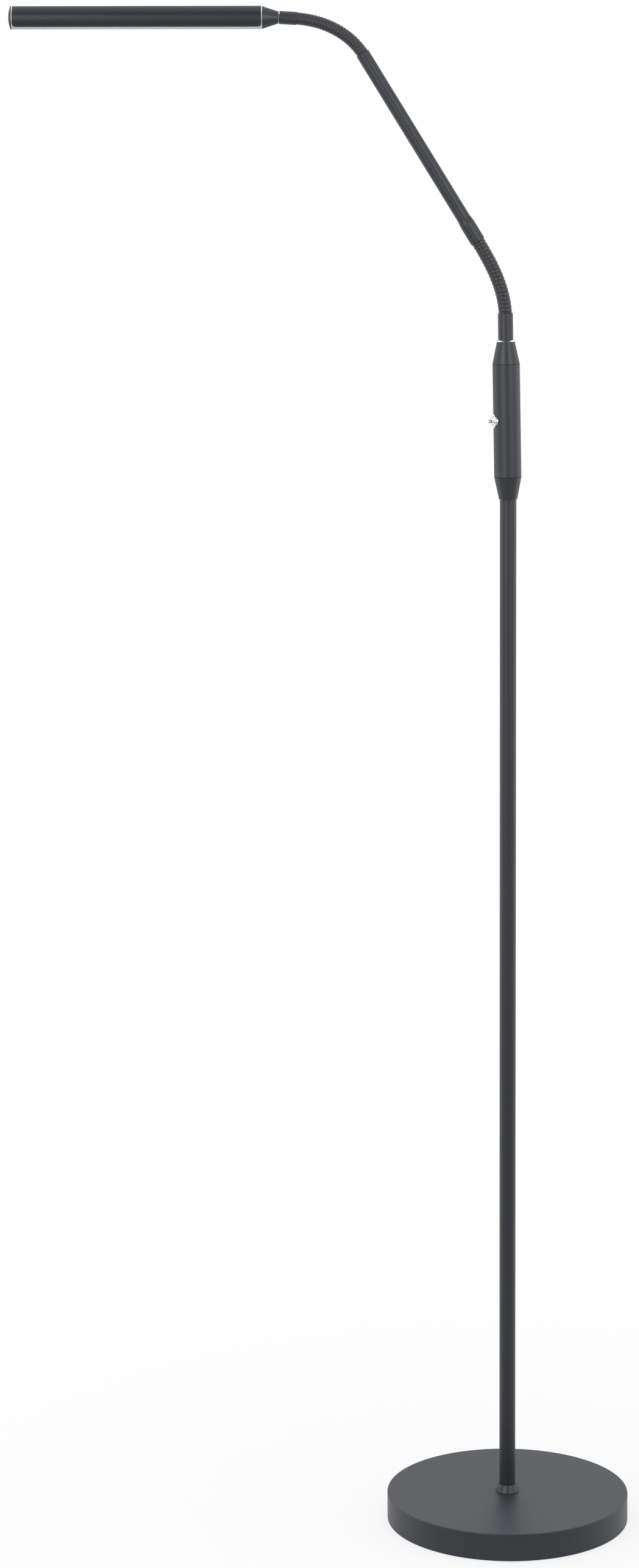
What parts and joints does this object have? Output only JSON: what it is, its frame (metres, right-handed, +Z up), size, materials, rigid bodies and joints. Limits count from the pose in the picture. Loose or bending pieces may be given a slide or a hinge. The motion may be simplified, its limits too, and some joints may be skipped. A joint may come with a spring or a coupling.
{
  "type": "gooseneck reading floor lamp",
  "caption": "Floor lamp with a weighted disc base, a straight pole with a switch grip, flexible necks at each end of an arm tube, and a slim level tube head with an opal diffuser.",
  "frame": {"origin": "centre of the base's underside, on the floor", "axes": "+Z up along the pole, the head reaches towards -X, -Y is the front with the grip's switch turned a little towards it"},
  "size_m": [0.612, 0.2516, 1.5493],
  "materials": {
    "powder_grey": "satin dark-grey powder coat",
    "powder_dark": "satin dark paint",
    "neck_black": "black-coated steel winding",
    "chrome": "polished chrome plate",
    "steel": "zinc-plated steel",
    "iron": "raw casting",
    "brass": "turned brass",
    "opal": "opal polycarbonate",
    "rubber": "black rubber",
    "foam": "black foam sheet",
    "nylon": "natural nylon",
    "board": "green circuit board",
    "board_white": "white-coated aluminium board",
    "component": "moulded components",
    "led": "LED package",
    "aluminium": "extruded aluminium",
    "lead": "PVC sheath"
  },
  "bodies": {
    "stand": {"floor_pad": "foam", "base_cover": "powder_grey", "base_weight": "iron", "base_washer": "steel", "base_nut": "steel", "cord_grommet": "rubber", "pole_foot_stud": "steel", "pole_foot_plug": "steel", "foot_collar": "powder_dark", "pole_tube": "powder_grey", "pole_top_adaptor": "brass", "pole_lead": "lead", "handle_lower_cone": "powder_dark", "handle_body": "powder_grey", "handle_upper_cone": "powder_dark", "driver_cradle": "nylon", "driver_board": "board", "driver_components": "component", "switch_body": "component", "switch_lock_nut": "steel", "switch_dress_nut": "chrome", "neck_nipple": "steel", "ferrule_ring": "chrome", "lower_ferrule": "powder_dark", "lower_neck_root": "neck_black"},
    "toggle": {"toggle_lever": "chrome"},
    "lower_neck_1_body": {"lower_neck_1": "neck_black"},
    "lower_neck_2_body": {"lower_neck_2": "neck_black"},
    "lower_neck_3_body": {"lower_neck_3": "neck_black"},
    "lower_neck_4_body": {"lower_neck_4": "neck_black"},
    "lower_neck_5_body": {"lower_neck_5": "neck_black"},
    "lower_neck_6_body": {"lower_neck_6": "neck_black"},
    "lower_neck_7_body": {"lower_neck_7": "neck_black"},
    "lower_neck_8_body": {"lower_neck_8": "neck_black"},
    "lower_neck_9_body": {"lower_neck_9": "neck_black"},
    "arm": {"joint_sleeve": "powder_dark", "arm_tube": "powder_grey", "arm_lead": "lead", "upper_neck_root": "neck_black"},
    "upper_neck_1_body": {"upper_neck_1": "neck_black"},
    "upper_neck_2_body": {"upper_neck_2": "neck_black"},
    "upper_neck_3_body": {"upper_neck_3": "neck_black"},
    "upper_neck_4_body": {"upper_neck_4": "neck_black"},
    "upper_neck_5_body": {"upper_neck_5": "neck_black"},
    "upper_neck_6_body": {"upper_neck_6": "neck_black"},
    "upper_neck_7_body": {"upper_neck_7": "neck_black"},
    "upper_neck_8_body": {"upper_neck_8": "neck_black"},
    "upper_neck_9_body": {"upper_neck_9": "neck_black"},
    "upper_neck_10_body": {"upper_neck_10": "neck_black"},
    "upper_neck_11_body": {"upper_neck_11": "neck_black"},
    "head_mount": {"upper_ferrule": "powder_dark", "swivel_ring": "steel", "swivel_bolt": "steel"},
    "head": {"head_cone": "powder_dark", "head_shell": "powder_grey", "diffuser": "opal", "end_cap": "powder_dark", "heat_sink": "aluminium", "led_board": "board_white", "led_chips": "led"}
  },
  "joints": [
    {"name": "toggle_tilt", "type": "hinge", "parent": "stand", "child": "toggle", "pos_m": [-0.01281, -0.00311, 1.14271], "axis": [0.2588, -0.9659, 0], "range_deg": [-8, 8]},
    {"name": "lower_neck_bend", "type": "hinge", "parent": "stand", "child": "lower_neck_1_body", "pos_m": [-0.0029, 0, 1.24958], "axis": [0.003, -1, 0], "range_deg": [-13, 8]},
    {"name": "lower_neck_side", "type": "hinge", "parent": "lower_neck_1_body", "child": "lower_neck_2_body", "pos_m": [-0.00381, 0, 1.2578], "axis": [0.9882, 0, 0.153], "range_deg": [-12, 12]},
    {"name": "lower_neck_bend_2", "type": "hinge", "parent": "lower_neck_2_body", "child": "lower_neck_3_body", "pos_m": [-0.00543, 0, 1.26591], "axis": [0.003, -1, 0], "range_deg": [-13, 8]},
    {"name": "lower_neck_side_2", "type": "hinge", "parent": "lower_neck_3_body", "child": "lower_neck_4_body", "pos_m": [-0.00766, 0, 1.27387], "axis": [0.9533, 0, 0.3021], "range_deg": [-12, 12]},
    {"name": "lower_neck_bend_3", "type": "hinge", "parent": "lower_neck_4_body", "child": "lower_neck_5_body", "pos_m": [-0.01042, 0, 1.28167], "axis": [0.003, -1, 0], "range_deg": [-13, 8]},
    {"name": "lower_neck_side_3", "type": "hinge", "parent": "lower_neck_5_body", "child": "lower_neck_6_body", "pos_m": [-0.01363, 0, 1.28929], "axis": [0.9117, 0, 0.4108], "range_deg": [-12, 12]},
    {"name": "lower_neck_bend_4", "type": "hinge", "parent": "lower_neck_6_body", "child": "lower_neck_7_body", "pos_m": [-0.01722, 0, 1.29674], "axis": [0.003, -1, 0], "range_deg": [-13, 8]},
    {"name": "lower_neck_side_4", "type": "hinge", "parent": "lower_neck_7_body", "child": "lower_neck_8_body", "pos_m": [-0.02109, 0, 1.30405], "axis": [0.8761, 0, 0.4822], "range_deg": [-12, 12]},
    {"name": "lower_neck_bend_5", "type": "hinge", "parent": "lower_neck_8_body", "child": "lower_neck_9_body", "pos_m": [-0.02519, 0, 1.31123], "axis": [0.003, -1, 0], "range_deg": [-13, 8]},
    {"name": "lower_neck_side_5", "type": "hinge", "parent": "lower_neck_9_body", "child": "arm", "pos_m": [-0.02944, 0, 1.31832], "axis": [0.8545, 0, 0.5195], "range_deg": [-12, 12]},
    {"name": "upper_neck_bend", "type": "hinge", "parent": "arm", "child": "upper_neck_1_body", "pos_m": [-0.14284, 0, 1.50228], "axis": [0.003, -1, 0], "range_deg": [-12, 7.5]},
    {"name": "upper_neck_side", "type": "hinge", "parent": "upper_neck_1_body", "child": "upper_neck_2_body", "pos_m": [-0.14688, 0, 1.50754], "axis": [0.7622, 0, 0.6474], "range_deg": [-12, 12]},
    {"name": "upper_neck_bend_2", "type": "hinge", "parent": "upper_neck_2_body", "child": "upper_neck_3_body", "pos_m": [-0.15141, 0, 1.51238], "axis": [0.003, -1, 0], "range_deg": [-12, 7.5]},
    {"name": "upper_neck_side_2", "type": "hinge", "parent": "upper_neck_3_body", "child": "upper_neck_4_body", "pos_m": [-0.15638, 0, 1.51676], "axis": [0.6275, 0, 0.7786], "range_deg": [-12, 12]},
    {"name": "upper_neck_bend_3", "type": "hinge", "parent": "upper_neck_4_body", "child": "upper_neck_5_body", "pos_m": [-0.16172, 0, 1.52069], "axis": [0.003, -1, 0], "range_deg": [-12, 7.5]},
    {"name": "upper_neck_side_3", "type": "hinge", "parent": "upper_neck_5_body", "child": "upper_neck_6_body", "pos_m": [-0.16738, 0, 1.52414], "axis": [0.4854, 0, 0.8743], "range_deg": [-12, 12]},
    {"name": "upper_neck_bend_4", "type": "hinge", "parent": "upper_neck_6_body", "child": "upper_neck_7_body", "pos_m": [-0.17331, 0, 1.52712], "axis": [0.003, -1, 0], "range_deg": [-12, 7.5]},
    {"name": "upper_neck_side_4", "type": "hinge", "parent": "upper_neck_7_body", "child": "upper_neck_8_body", "pos_m": [-0.17944, 0, 1.52963], "axis": [0.3448, 0, 0.9387], "range_deg": [-12, 12]},
    {"name": "upper_neck_bend_5", "type": "hinge", "parent": "upper_neck_8_body", "child": "upper_neck_9_body", "pos_m": [-0.18575, 0, 1.53169], "axis": [0.003, -1, 0], "range_deg": [-12, 7.5]},
    {"name": "upper_neck_side_5", "type": "hinge", "parent": "upper_neck_9_body", "child": "upper_neck_10_body", "pos_m": [-0.19218, 0, 1.53331], "axis": [0.2124, 0, 0.9772], "range_deg": [-12, 12]},
    {"name": "upper_neck_bend_6", "type": "hinge", "parent": "upper_neck_10_body", "child": "upper_neck_11_body", "pos_m": [-0.1987, 0, 1.5345], "axis": [0.003, -1, 0], "range_deg": [-12, 7.5]},
    {"name": "upper_neck_side_6", "type": "hinge", "parent": "upper_neck_11_body", "child": "head_mount", "pos_m": [-0.20528, 0, 1.5353], "axis": [0.0927, 0, 0.9957], "range_deg": [-12, 12]},
    {"name": "head_roll", "type": "hinge", "parent": "head_mount", "child": "head", "pos_m": [-0.22324, 0, 1.53647], "axis": [-1, 0, 0.0061], "range_deg": [-90, 90]}
  ],
  "couplings": [
    {"joint": "lower_neck_bend_2", "follows": "lower_neck_bend", "ratio": 1},
    {"joint": "lower_neck_side_2", "follows": "lower_neck_side", "ratio": 1},
    {"joint": "lower_neck_bend_3", "follows": "lower_neck_bend", "ratio": 1},
    {"joint": "lower_neck_side_3", "follows": "lower_neck_side", "ratio": 1},
    {"joint": "lower_neck_bend_4", "follows": "lower_neck_bend", "ratio": 1},
    {"joint": "lower_neck_side_4", "follows": "lower_neck_side", "ratio": 1},
    {"joint": "lower_neck_bend_5", "follows": "lower_neck_bend", "ratio": 1},
    {"joint": "lower_neck_side_5", "follows": "lower_neck_side", "ratio": 1},
    {"joint": "upper_neck_bend_2", "follows": "upper_neck_bend", "ratio": 1},
    {"joint": "upper_neck_side_2", "follows": "upper_neck_side", "ratio": 1},
    {"joint": "upper_neck_bend_3", "follows": "upper_neck_bend", "ratio": 1},
    {"joint": "upper_neck_side_3", "follows": "upper_neck_side", "ratio": 1},
    {"joint": "upper_neck_bend_4", "follows": "upper_neck_bend", "ratio": 1},
    {"joint": "upper_neck_side_4", "follows": "upper_neck_side", "ratio": 1},
    {"joint": "upper_neck_bend_5", "follows": "upper_neck_bend", "ratio": 1},
    {"joint": "upper_neck_side_5", "follows": "upper_neck_side", "ratio": 1},
    {"joint": "upper_neck_bend_6", "follows": "upper_neck_bend", "ratio": 1},
    {"joint": "upper_neck_side_6", "follows": "upper_neck_side", "ratio": 1}
  ]
}
